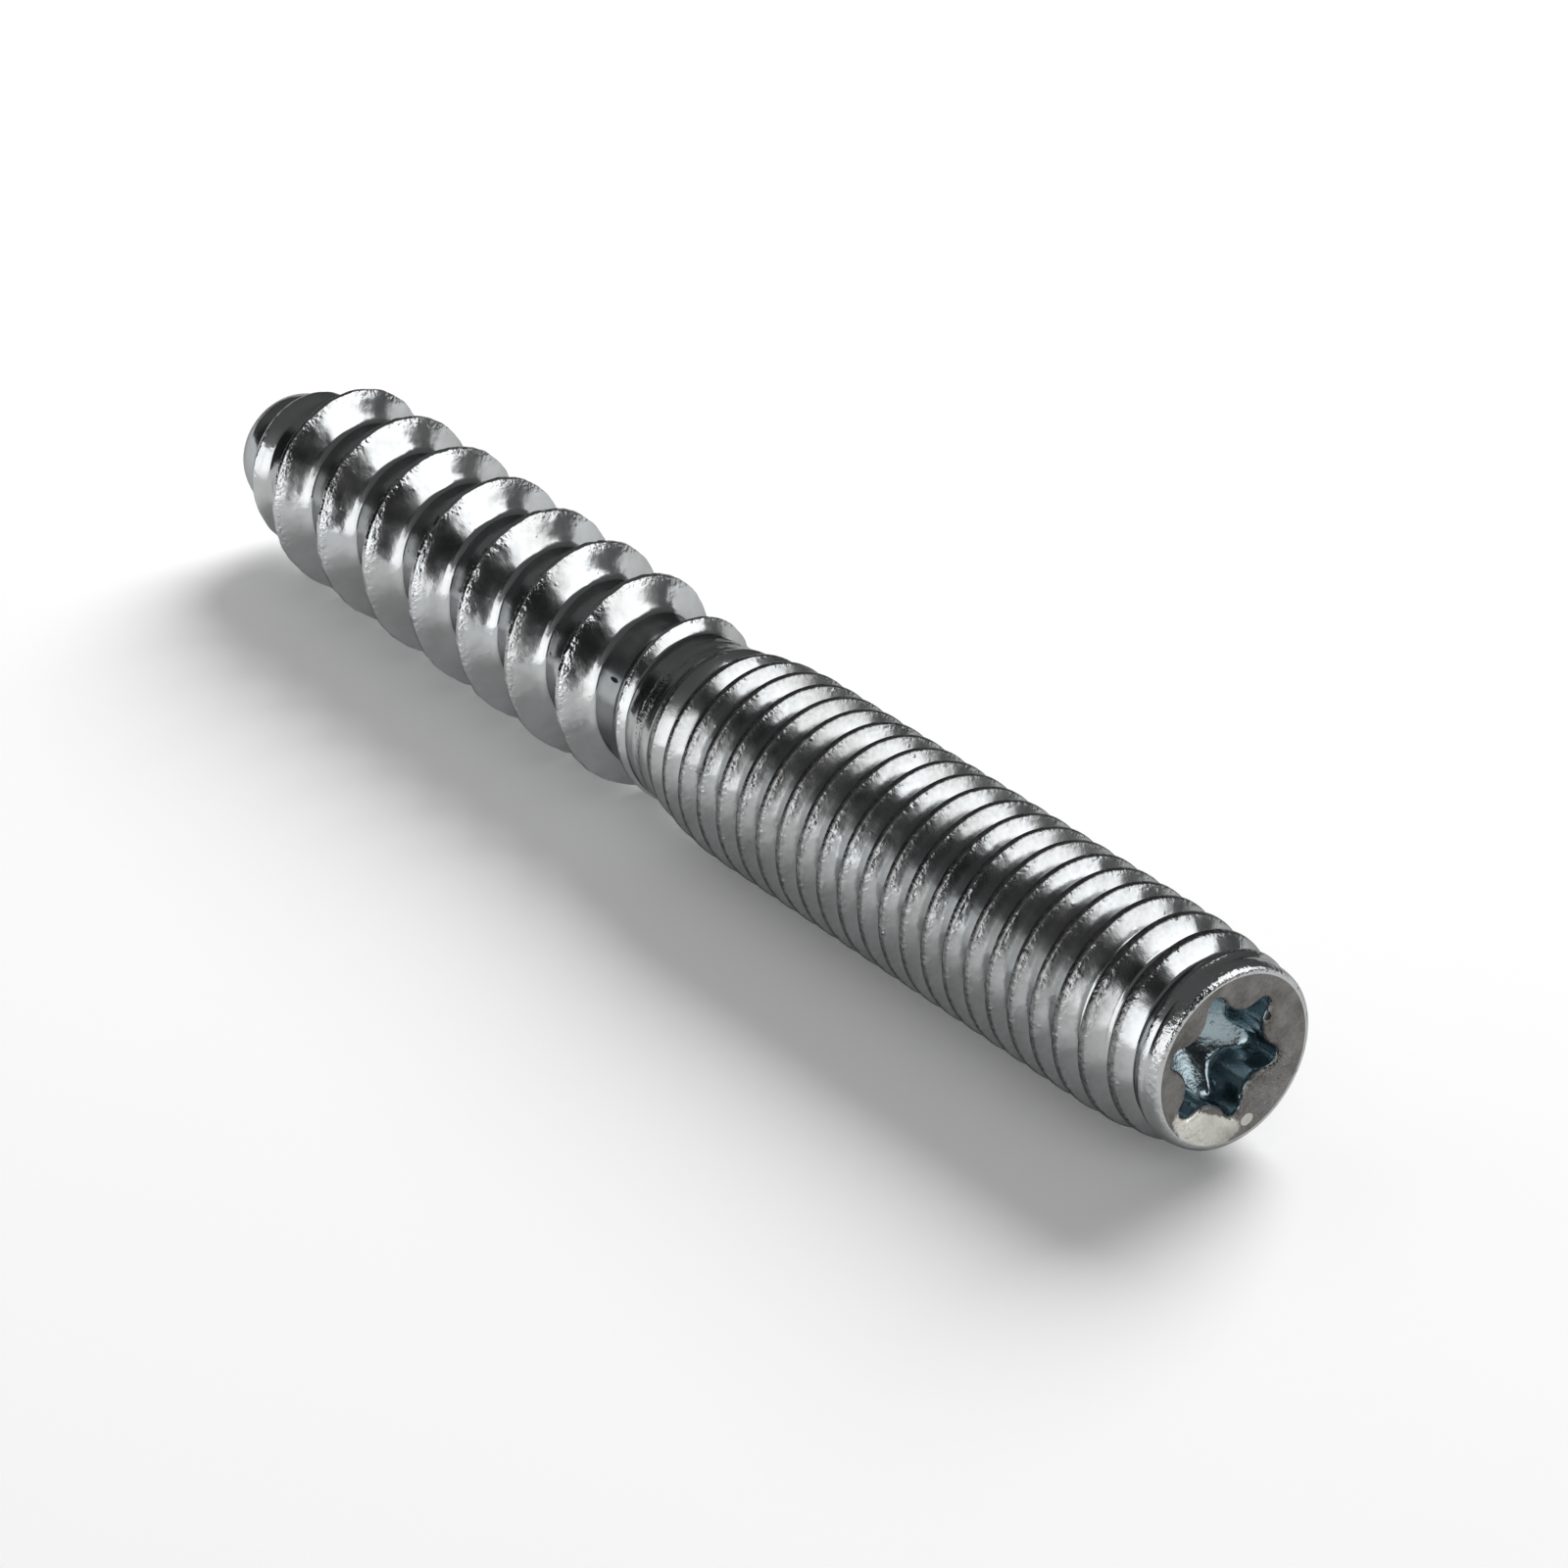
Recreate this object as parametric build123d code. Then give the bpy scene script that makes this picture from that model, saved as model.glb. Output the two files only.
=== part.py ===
from build123d import *
from math import ceil, cos, floor, pi, radians, sin, sqrt, tan
import os

# Hanger bolt, M10 x 75, rolled from one steel blank. It lies on its side, with the machine end
# along +X and the wood screw point towards -X. The two halves meet at a slight bend in the neck,
# which lies flat, so the bolt rests on both halves and does not roll. Its lowest point is Z = 0.
# Lengths are in millimetres and angles in degrees. Both threads are right-handed.

# Overall
overall_length = 75.0
neck_distance = 37.35
neck_width = 0.3
neck_diameter = 8.2
neck_bend = 1.5
neck_bend_length = 3.0
seam_angle = -180.0

# Machine thread
machine_major_diameter = 9.85
machine_root_diameter = 8.0
machine_pitch = 1.5
machine_crest_width = 0.2
machine_flank_angle = 30.0
machine_runout_length = 5.5

# Machine end
end_diameter = 8.6
end_taper_length = 5.5
end_groove_fade = 1.6
end_plain_length = 1.0
end_rim_radius = 0.35
end_stretch_length = 6.5
end_stretch_share = 0.15

# Wood thread
wood_crest_diameter = 10.1
wood_root_diameter = 7.1
wood_pitch = 4.21
wood_crest_width = 0.3
wood_flank_angle = 30.0
wood_runout_length = 7.7
wood_root_rise = 4.0
wood_squeeze_turns = 2.0

# Point
nose_diameter = 5.6
nose_radius = 1.0
nose_plain_length = 0.8
point_half_angle = 21.5
point_groove_depth = 0.8

# Six-lobe socket in the machine end
lobe_count = 6
socket_rim_width = 1.15
socket_flute_share = 0.7
socket_lobe_radius = 0.5
socket_wall_depth = 2.0
socket_floor_angle = 120.0
socket_mouth_chamfer = 0.15
socket_turn = 42.0
socket_offset_y = -0.4
socket_offset_z = 0.2

# How finely the rails of the threads are laid out, and the rounding where tapers meet
rail_points = 6
rail_step = 1e-4
corner_softness = 0.15

face_x = overall_length / 2
nose_x = -overall_length / 2
neck_x = face_x - neck_distance
machine_start_x = neck_x + neck_width / 2
wood_end_x = neck_x - neck_width / 2
wood_begin_x = nose_x + nose_plain_length


def ease_out(distance, length):
    """Rises from 0 to 1 over a length, steep at first and level at its end."""
    share = min(max(distance / length, 0.0), 1.0)
    return sin(share * pi / 2)


def blend(distance, length):
    """Rises from 0 to 1 over a length, level at both ends."""
    share = min(max(distance / length, 0.0), 1.0)
    return share * share * (3 - 2 * share)


def soft_minimum(a, b):
    """The smaller of two radii, with the corner between them rounded."""
    return (a + b - sqrt((a - b) ** 2 + corner_softness ** 2)) / 2


def machine_crest(x):
    """Crest radius of the machine thread, low at the neck and tapered at the end face."""
    neck_radius = neck_diameter / 2
    full = machine_major_diameter / 2
    from_neck = ease_out(x - machine_start_x, machine_runout_length)
    from_face = ease_out(face_x - x, end_taper_length)
    near_neck = neck_radius + (full - neck_radius) * from_neck
    near_face = end_diameter / 2 + (full - end_diameter / 2) * from_face
    return min(near_neck, near_face)


def machine_root(x):
    """Root radius of the machine thread, which meets the crest at both ends of the thread."""
    full = machine_root_diameter / 2
    from_neck = blend(x - machine_start_x, machine_pitch)
    from_end = blend(machine_end_x - x, end_groove_fade)
    crest = machine_crest(x)
    return crest + (min(full, crest) - crest) * min(from_neck, from_end)


def point_radius(x):
    """Radius of the cone of the point."""
    return nose_diameter / 2 + (x - nose_x) * tan(radians(point_half_angle))


def wood_crest(x):
    """Crest radius of the wood thread, on the point's cone at one end and low at the neck."""
    neck_radius = neck_diameter / 2
    full = wood_crest_diameter / 2
    near_neck = neck_radius + (full - neck_radius) * ease_out(wood_end_x - x, wood_runout_length)
    return soft_minimum(near_neck, point_radius(x)) if x < neck_x - wood_runout_length else near_neck


def wood_root(x):
    """Root radius of the wood thread, on the point's cone at one end and the neck at the other."""
    neck_radius = neck_diameter / 2
    full = wood_root_diameter / 2
    near_neck = neck_radius + (full - neck_radius) * blend(wood_end_x - x, wood_root_rise)
    near_point = point_radius(x) - point_groove_depth * blend(x - wood_begin_x, wood_pitch)
    return soft_minimum(near_neck, near_point) if x < neck_x - wood_root_rise else near_neck


def bent(x, y, z):
    """Where a point of the straight bolt goes as the wood half turns about the neck, towards +Y."""
    turn = radians(neck_bend) * blend(neck_x + neck_bend_length / 2 - x, neck_bend_length)
    reach = x - neck_x
    return Vector(neck_x + reach * cos(turn) + y * sin(turn), y * cos(turn) - reach * sin(turn), z)


def squeezed(x):
    """Draws the first turns of the wood thread together, so that they begin behind the nose."""
    first = wood_end_x - wood_turns * wood_pitch
    span = wood_squeeze_turns * wood_pitch
    share = min((x - first) / span - 1, 0.0)
    return x + (wood_begin_x - first) * share ** 2


def stretched(x):
    """Spreads the last turns of the machine thread a little, towards the end face."""
    past = max(x - (face_x - end_stretch_length), 0.0)
    return x + end_stretch_share * past ** 2 / (past + machine_pitch / 3)


def rail(position, radius):
    """One turn about the axis: a spline whose distance along X and radius follow two functions."""

    def point(turn):
        x = position(turn)
        angle = radians(seam_angle) + 2 * pi * turn
        return bent(x, -radius(x) * sin(angle), radius(x) * cos(angle))

    turns = [i / rail_points for i in range(rail_points + 1)]
    slopes = [(point(end + rail_step) - point(end - rail_step)) / (2 * rail_step) for end in (0, 1)]
    points = [point(turn) for turn in turns]
    return Edge.make_spline(points, tangents=slopes, parameters=turns, scale=False)


def ring(x, radius):
    """A closed rail at one distance along the axis."""
    return rail(lambda turn: x, lambda at: radius)


def ridge_edges(pitch, crest_width, height, flank_angle):
    """Where a turn's crest and root begin and end along the axis, from the crest's near edge."""
    flank = height * tan(radians(flank_angle))
    return [0.0, crest_width, crest_width + flank, pitch - flank]


def thread_faces(start, turns, pitch, edges, crest, root, place=float):
    """Ruled strips between the rails of a thread, which widen from a ring and close on a ring."""
    end = start + pitch * turns
    radii = [crest, crest, root, root]

    def lane(turn_index, edge_index):
        offset = edges[edge_index]
        if turn_index == 0:
            return lambda turn: place(start + offset * turn)
        if turn_index == turns:
            return lambda turn: place(end - (pitch - offset) * (1 - turn))
        return lambda turn: place(start + pitch * (turn_index - 1 + turn) + offset)

    faces = []
    for turn_index in range(turns + 1):
        rails = [rail(lane(turn_index, i), radii[i]) for i in range(len(edges))]
        if turn_index < turns:
            rails.append(rail(lane(turn_index + 1, 0), crest))
        else:
            rails.append(ring(place(end), crest(place(end))))
        faces += [Face.make_surface_from_curves(a, b) for a, b in zip(rails, rails[1:])]
    return faces


def threaded_blank():
    """The whole bolt as one closed skin, with plain ends and no socket."""
    nose = ring(nose_x, point_radius(nose_x))
    wood_first = ring(wood_begin_x, wood_crest(wood_begin_x))
    wood_last = ring(wood_end_x, neck_diameter / 2)
    machine_first = ring(machine_start_x, neck_diameter / 2)
    machine_last = ring(machine_end_x, machine_crest(machine_end_x))
    face = ring(face_x, end_diameter / 2)
    faces = [Face(Wire([nose])), Face.make_surface_from_curves(nose, wood_first)]
    faces += thread_faces(
        wood_start_x, wood_turns, wood_pitch, wood_edges, wood_crest, wood_root, squeezed
    )
    faces.append(Face.make_surface_from_curves(wood_last, machine_first))
    faces += thread_faces(
        machine_start_x, machine_turns, machine_pitch, machine_edges, machine_crest, machine_root,
        stretched,
    )
    faces += [Face.make_surface_from_curves(machine_last, face), Face(Wire([face]))]
    return Solid(Shell(Face.sew_faces(faces)[0]))


def lobe_outline():
    """The six-lobe outline, of arcs that meet smoothly, on the plane of the end face."""
    lobe_centre = socket_across_lobes / 2 - socket_lobe_radius
    valley = socket_across_flutes / 2
    half_step = pi / lobe_count
    reach = cos(half_step)
    gap = lobe_centre ** 2 + valley ** 2 - 2 * lobe_centre * valley * reach - socket_lobe_radius ** 2
    flute_radius = gap / (2 * (socket_lobe_radius + lobe_centre * reach - valley))
    flute_centre = valley + flute_radius
    share = socket_lobe_radius / (socket_lobe_radius + flute_radius)

    def polar(radius, angle):
        return Vector(radius * cos(angle), radius * sin(angle))

    with BuildSketch(Plane.YZ.offset(face_x)) as outline:
        with BuildLine():
            for i in range(lobe_count):
                middle = radians(socket_turn) + 2 * half_step * i
                lobe = polar(lobe_centre, middle)
                before = lobe + (polar(flute_centre, middle - half_step) - lobe) * share
                after = lobe + (polar(flute_centre, middle + half_step) - lobe) * share
                following = polar(lobe_centre, middle + 2 * half_step)
                next_flute = polar(flute_centre, middle + half_step)
                start_next = following + (next_flute - following) * share
                ThreePointArc(before, polar(socket_across_lobes / 2, middle), after)
                ThreePointArc(after, polar(valley, middle + half_step), start_next)
        make_face()
    return outline.sketch


def socket_punch():
    """The lobed prism that makes the socket, with its conical nose."""
    radius = socket_across_lobes / 2
    cone = radius / tan(radians(socket_floor_angle / 2))
    corner = face_x - socket_wall_depth
    prism = extrude(lobe_outline(), amount=-(socket_wall_depth + cone))
    limit = Polyline((corner - cone, 0), (corner, radius), (face_x, radius), (face_x, 0), close=True)
    return prism & revolve(make_face(limit), Axis.X, 360)


def break_mouth(body):
    """Breaks the edge that the socket makes in the end face."""
    on_face = body.edges().filter_by_position(Axis.X, face_x, face_x)
    mouth = [edge for edge in on_face if edge.length < socket_across_lobes]
    return chamfer(mouth, socket_mouth_chamfer)


socket_across_lobes = end_diameter - 2 * socket_rim_width
socket_across_flutes = socket_across_lobes * socket_flute_share

machine_height = (machine_major_diameter - machine_root_diameter) / 2
machine_edges = ridge_edges(machine_pitch, machine_crest_width, machine_height, machine_flank_angle)
machine_room = face_x - end_plain_length - machine_start_x
machine_turns = floor(machine_room / machine_pitch)
machine_end_x = stretched(machine_start_x + machine_turns * machine_pitch)

wood_height = (wood_crest_diameter - wood_root_diameter) / 2
wood_edges = ridge_edges(wood_pitch, wood_crest_width, wood_height, wood_flank_angle)
wood_turns = ceil((wood_end_x - wood_begin_x) / wood_pitch)
wood_start_x = wood_end_x - wood_turns * wood_pitch

bolt = threaded_blank()
bolt = fillet(bolt.edges().sort_by(Axis.X)[-1], end_rim_radius)
bolt = fillet(bolt.edges().sort_by(Axis.X)[0], nose_radius)
bolt -= Pos(0, socket_offset_y, socket_offset_z) * socket_punch()
bolt = break_mouth(bolt)

space = bolt.bounding_box()
rest = Pos(-space.center().X, -space.center().Y, -space.min.Z)
bolt = rest * bolt

os.makedirs("parts", exist_ok=True)
export_step(bolt, "parts/hanger_bolt.step")
print("turns", wood_turns, machine_turns, "faces", len(bolt.faces()), "valid", bolt.is_valid)
print("moved by", rest.position)
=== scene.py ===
from math import atan, ceil, cos, floor, pi, radians, sin, tan

import bmesh
import bpy
from mathutils import Matrix, Vector


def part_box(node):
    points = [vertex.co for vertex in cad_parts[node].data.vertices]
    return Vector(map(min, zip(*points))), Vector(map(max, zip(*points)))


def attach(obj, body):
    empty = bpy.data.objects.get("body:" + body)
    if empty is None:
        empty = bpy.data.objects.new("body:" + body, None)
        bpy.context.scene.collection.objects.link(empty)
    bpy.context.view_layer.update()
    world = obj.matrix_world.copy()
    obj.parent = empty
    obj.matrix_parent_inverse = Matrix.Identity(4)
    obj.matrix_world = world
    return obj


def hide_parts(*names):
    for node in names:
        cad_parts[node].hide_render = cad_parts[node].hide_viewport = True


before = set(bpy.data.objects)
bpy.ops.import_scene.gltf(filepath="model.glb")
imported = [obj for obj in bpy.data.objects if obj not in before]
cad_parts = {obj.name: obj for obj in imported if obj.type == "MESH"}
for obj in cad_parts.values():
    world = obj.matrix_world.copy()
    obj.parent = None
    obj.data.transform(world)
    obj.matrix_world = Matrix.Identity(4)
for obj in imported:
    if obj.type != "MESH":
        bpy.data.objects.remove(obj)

bl_info = {
    "name": "Hanger bolt",
    "version": (1, 0, 0),
    "blender": (4, 5, 0),
    "location": "3D View > Sidebar > Hanger bolt",
    "description": "Builds a zinc-plated hanger bolt and the table it is shown on",
    "category": "Object",
}

MM = 0.001
FRAME_NODE = "hanger_bolt"
FRAME_BODY = "root"

# The colour sockets of a Mix node
MIX_FIRST, MIX_LAST, MIX_MADE = 6, 7, 2
# The kinds of line that run round the bolt
PLAIN, WOOD, MACHINE, SOCKET = range(4)

# Rounding of the crest's and of the root's corners
WOOD_CORNERS = (0.1 * MM, 0.5 * MM)
MACHINE_CORNERS = (0.12 * MM, 0.18 * MM)
# Steps in each corner, and in the crest, the flanks and the root between them
WOOD_STEPS, WOOD_FILL = 4, {0: 1, 1: 3, 2: 4, 3: 3}
MACHINE_STEPS, MACHINE_FILL = 2, {}
# Steps over the flat of the nose and its rim, and over the end's rim, face, mouth, wall and floor
NOSE_FLAT_STEPS, NOSE_RIM_STEPS = 4, 8
END_RIM_STEPS, FACE_STEPS, MOUTH_STEPS, WALL_STEPS, FLOOR_STEPS = 6, 6, 2, 8, 10
FIRST_WALL_STEP = 0.08

# Wear of the wood thread: how far it is drawn out along the bolt, its scale per millimetre, the
# scale and height of its wider waves, and the depth of thread from which it is full
WEAR_STRETCH = 0.8
WEAR_SCALE = 1.6
WAVE_SCALE = 0.35
WAVE_HEIGHT = 0.02
WORN_DEPTH = 1.0
# The painted shade along the machine crest is full from this depth of thread on
CREST_SHADE_DEPTH = 0.6

# The end face in millimetres: its place along the bolt, and its middle across it
END_FACE = 37.52
END_MIDDLE = (-0.33, 5.15)
# Marks on the end face: distance from its middle and half width in millimetres, then the angle
# round it and half the angle that the mark spans in degrees
# The dented patch at the rim carries a painted highlight: its colour is painted bright where it
# would reflect light
HIGHLIGHT_PATCH = (3.35, 0.8, -118, 36)
ROUGH_ZONE = (3.1, 0.9, -40, 30)
NOTCH = (2.35, 0.2, 41, 6)
RIM_DENT = (4.0, 0.25, -79, 5)
BLOB = (3.36, 0.28, -75, 6)
# A short cut along the last root of the wood thread, in millimetres: middle, half length and width
CUT_MIDDLE = (-3.09, -3.37, 7.07)
CUT_REACH = (0.45, 0.12, 0.12)
# Scales per millimetre of the marks in the zinc, on the rolled part and on the struck end
ROLLED_PART = {"Streak Scale": 3.2, "Dent Scale": 0.8, "Cloud Scale": 0.55, "Grain Scale": 4.5,
               "Speck Size": 0.22}
STRUCK_END = {"Streak Scale": 2.4, "Dent Scale": 1.1, "Cloud Scale": 0.8, "Grain Scale": 5.5,
              "Speck Size": 0.26}
# For each mark: how far it is drawn out along the bolt, its scale, its seed and its detail
MARKS = {
    "Streaks": (0.22, "Streak Scale", 1.0, 3.0),
    "Dents": (0.7, "Dent Scale", 2.0, 1.0),
    "Clouds": (0.6, "Cloud Scale", 3.0, 5.0),
    "Grain": (1.0, "Grain Scale", 4.0, 2.0),
}
# Places for specks per millimetre, and how many of them stay empty
SPECK_SCALE = 1.6
EMPTY_SHARE = 0.55

# Rolled zinc: how dull it is, and how much the clouds and streaks add
DULL, DULL_CLOUDS, DULL_STREAKS = 0.3, 0.55, 0.12
# The worn edge ends where the groove's depth times this is 1
EDGE_END = 3.5
# The painted shade along the machine crest: how full it is, how much the grain breaks it up, and
# how much rougher it is
CREST_SHADE_FULL, CREST_SHADE_GRAIN, CREST_SHADE_ROUGHNESS = 0.85, 0.35, 0.12
# Specks stand this much on the flanks, and this much more on the worn edge
FLANK_SPECKS, EDGE_SPECKS = 0.3, 1.5
# End face: how stained it is, and how much the clouds, dents and grain add
STAIN, STAIN_CLOUDS, STAIN_DENTS, STAIN_GRAIN = 0.4, 0.5, 0.4, 0.25
# How ragged the borders of its marks are, by the grain and by the dents
RAGGED_GRAIN, RAGGED_DENTS = 0.15, 0.2
# How full the painted highlight on the dented patch is, and how much the clouds add
HIGHLIGHT_FULL, HIGHLIGHT_CLOUDS = 0.75, 0.4
# How far the raised blob is painted bright, as a painted highlight
BLOB_HIGHLIGHT = 0.6
# Heights of its marks, as shares of the height of its grain
ROUGH_HEIGHT, HIGHLIGHT_PATCH_HEIGHT, BLOB_HEIGHT, DENT_DEPTH, NOTCH_DEPTH, SPECK_DEPTH = 3, 2, 3, 6, 5, 2
SMOOTH_SOCKET = 0.8

# Softboxes: half width and half height, azimuth, elevation and distance, the value that gives
# the strength, and the share of the cloth that fades
SOFTBOXES = {
    "key_box": (0.28, 0.31, (44, 42, 0.6), "key_light", 0.2),
    "front_box": (0.4, 0.21, (-60, 18, 0.6), "front_light", 0.07),
    "strip_box": (0.15, 0.2, (-99, 17, 0.56), "strip_light", 0.1),
}
# Patches of the tent: azimuth, elevation, the cosine where the patch ends and its soft border
DARK_PATCHES = ((-8, 26, 0.7, 0.2), (-142, 12, 0.82, 0.1))
PALE_PATCH = (-72, 20, 0.72, 0.25)
TENT_RADIUS = 0.9
PAPER_HALF_SIDE = 2.0
LAMP_SIZE = 0.65
LAMP_PLACE = (112, 36, 0.95)
CAMERA_PLACE = (0.200059, -0.146341, 0.139074)
CAMERA_AIM = (-0.699129, 0.525780, -0.484535)
WHITE_RAYS = ("Is Camera Ray", "Is Glossy Ray", "Is Transmission Ray")


def size(label, description, millimetres):
    """A length that a user can change."""
    return bpy.props.FloatProperty(
        name=label, description=description, default=millimetres * MM, unit="LENGTH", precision=5
    )


def angle(label, description, degrees):
    """An angle that a user can change."""
    return bpy.props.FloatProperty(
        name=label, description=description, default=radians(degrees), unit="ROTATION"
    )


def number(label, description, value):
    """A plain number that a user can change."""
    return bpy.props.FloatProperty(name=label, description=description, default=value, precision=4)


def count(label, description, value):
    """A whole number that a user can change."""
    return bpy.props.IntProperty(name=label, description=description, default=value)


def colour(label, description, value):
    """A colour that a user can change."""
    return bpy.props.FloatVectorProperty(
        name=label, description=description, default=value, subtype="COLOR", size=3, min=0, max=1
    )


class BoltSizes(bpy.types.PropertyGroup):
    """Sizes of the bolt, before it bends at its neck."""

    overall_length: size("Overall Length", "From the nose to the end face", 75.0)
    neck_distance: size("Neck Distance", "From the end face to the middle of the neck", 37.35)
    neck_width: size("Neck Width", "Plain length between the threads", 0.3)
    neck_diameter: size("Neck Diameter", "Across the plain neck", 8.2)
    neck_bend: angle("Neck Bend", "How far the wood half is bent to the side", 1.5)
    neck_bend_length: size("Neck Bend Length", "Length that the bend is spread over", 3.0)
    seam_angle: angle("Seam Angle", "Where the threads begin, round the bolt from its top", -180.0)

    machine_diameter: size("Machine Diameter", "Across the crests of the machine thread", 9.85)
    machine_root: size("Machine Root", "Across the roots of the machine thread", 8.0)
    machine_pitch: size("Machine Pitch", "Distance between turns", 1.5)
    machine_crest: size("Machine Crest", "Width of the crest", 0.3)
    machine_flank: angle("Machine Flank", "Slope of the flanks", 28.5)
    machine_runout: size("Machine Runout", "Length over which the crests rise from the neck", 5.5)
    end_diameter: size("End Diameter", "Across the end face", 8.6)
    end_taper: size("End Taper", "Length over which the crests fall to the end", 5.5)
    end_fade: size("End Fade", "Length over which the last groove fades", 1.6)
    end_plain: size("End Plain", "Plain length behind the end face", 1.0)
    end_rim: size("End Rim", "Radius of the rim of the end face", 0.35)
    stretch_length: size("Stretch Length", "Length over which the last turns are spread", 6.5)
    stretch_share: number("Stretch Share", "How far the last turns are spread", 0.15)
    end_y: size("End Y", "How far the end leans to the side", 0.1)
    end_z: size("End Z", "How far the end leans upwards", 0.1)

    wood_diameter: size("Wood Diameter", "Across the crests of the wood thread", 10.1)
    wood_root: size("Wood Root", "Across the roots of the wood thread", 7.1)
    wood_pitch: size("Wood Pitch", "Distance between turns", 4.21)
    wood_crest: size("Wood Crest", "Width of the crest", 0.3)
    wood_flank: angle("Wood Flank", "Slope of the flanks", 30.0)
    wood_runout: size("Wood Runout", "Length over which the crests fall to the neck", 7.7)
    wood_rise: size("Wood Rise", "Length over which the root rises to the neck", 4.0)
    wood_squeeze: number("Wood Squeeze", "Turns that are drawn together at the point", 2.0)

    nose_diameter: size("Nose Diameter", "Across the nose, before its rim is rounded", 5.4)
    nose_rim: size("Nose Rim", "Radius of the rim of the nose", 1.2)
    nose_drop: size("Nose Drop", "How far the nose droops", 0.2)
    nose_plain: size("Nose Plain", "Plain length ahead of the thread", 0.8)
    point_angle: angle("Point Angle", "Slope of the point", 21.5)
    point_groove: size("Point Groove", "Depth of the root below the point", 0.8)
    corner_softness: size("Corner Softness", "Rounding where a taper meets the full thread", 0.15)

    lobe_count: number("Lobe Count", "Lobes of the socket", 6)
    socket_lobes: size("Socket Lobes", "Across opposite lobes", 6.3)
    socket_flutes: size("Socket Flutes", "Across opposite flutes", 4.41)
    lobe_radius: size("Lobe Radius", "Radius of a lobe", 0.5)
    socket_wall: size("Socket Wall", "Depth of the wall at the lobes", 2.0)
    socket_floor: angle("Socket Floor", "Half the cone angle of the floor", 60.0)
    socket_mouth: size("Socket Mouth", "Chamfer round the mouth", 0.15)
    socket_turn: angle("Socket Turn", "Where the first lobe lies", 42.0)
    socket_y: size("Socket Y", "How far off centre to the side", -0.4)
    socket_z: size("Socket Z", "How far off centre upwards", 0.2)

    crest_wear: size("Crest Wear", "How ragged the wood thread's crests are", 0.05)
    wear_seed: number("Wear Seed", "Seed of the ragged crests", 3.0)
    steps_round: count("Steps Round", "Steps that a turn is made of", 144)


class ZincFinishAndPaintedLight(bpy.types.PropertyGroup):
    """Colours and roughness of the bolt's finish, with the colours of its painted shade and painted
    highlight.
    """

    zinc_colour: colour("Zinc", "Bright zinc", (0.5, 0.52, 0.53))
    stain_colour: colour("Stain", "Zinc where it is dull and stained", (0.38, 0.38, 0.37))
    edge_tint: colour("Edge Tint", "How much the zinc mirrors at a glance", (0.45, 0.45, 0.45))
    zinc_roughness: number("Zinc Roughness", "Roughness of bright zinc", 0.14)
    stain_roughness: number("Stain Roughness", "Roughness of dull zinc", 0.28)
    streak_height: number("Streak Height", "Height of the rolled streaks in millimetres", 0.0022)
    dent_height: number("Dent Height", "Height of the soft dents in millimetres", 0.012)
    speck_height: number("Speck Height", "Height of the fine specks in millimetres", 0.02)
    # Painted shade: the near-black colour of the cut and the notch, for the shade at their bottoms
    scar_shade_colour: colour("Scar Shade Colour", "Dark bottom of a cut or a notch", (0.03, 0.03, 0.03))
    # Painted shade: the dark line painted along each crest of the machine thread
    lap_colour: colour("Lap", "Dark seam on the machine crest", (0.13, 0.13, 0.13))
    edge_height: number("Edge Height", "Height of the worn edges' grain in millimetres", 0.014)
    end_colour: colour("End Face", "Matt zinc of the end face", (0.2, 0.195, 0.185))
    end_stain: colour("End Stain", "Stained patches of the end face", (0.1, 0.097, 0.09))
    # Teal tint of the socket, darkened as painted shade in the recess
    socket_tint_and_shade: colour("Socket", "Dark zinc inside the socket", (0.3, 0.37, 0.4))
    # Painted highlight: paints the end face's dented patch and blob bright, in place of their
    # reflection
    painted_highlight_colour: colour("Bared", "Bright metal where the end face is chipped", (0.72, 0.71, 0.65))
    end_roughness: number("End Roughness", "Roughness of the end face", 0.42)
    socket_roughness: number("Socket Roughness", "Roughness inside the socket", 0.2)
    end_height: number("End Height", "Height of the end face's grain in millimetres", 0.02)


class TableStage(bpy.types.PropertyGroup):
    """The white table, its soft lights and the camera."""

    paper_colour: colour("Paper", "The white paper that the bolt lies on", (0.9, 0.9, 0.9))
    paper_glow: number("Paper Glow", "Light that lifts the paper to white", 0.1)
    paper_light: number("Paper Light", "Strength of the light on the paper alone", 11.5)
    key_light: number("Key Light", "Strength of the light behind on the right", 2.3)
    front_light: number("Front Light", "Strength of the wide light in front", 2.0)
    strip_light: number("Strip Light", "Strength of the light in front on the left", 1.9)
    tent_light: number("Tent Light", "Strength of the dim tent round the table", 0.12)
    tent_dark: number("Tent Dark", "Strength of the tent's dark patches", 0.015)
    tent_pale: number("Tent Pale", "Strength of the tent's pale patch, in front", 0.2)
    room_fill: number("Room Fill", "Strength of the room as the paper sees it", 0.42)
    camera_lens: number("Camera Lens", "Focal length in millimetres", 138.8)


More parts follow.
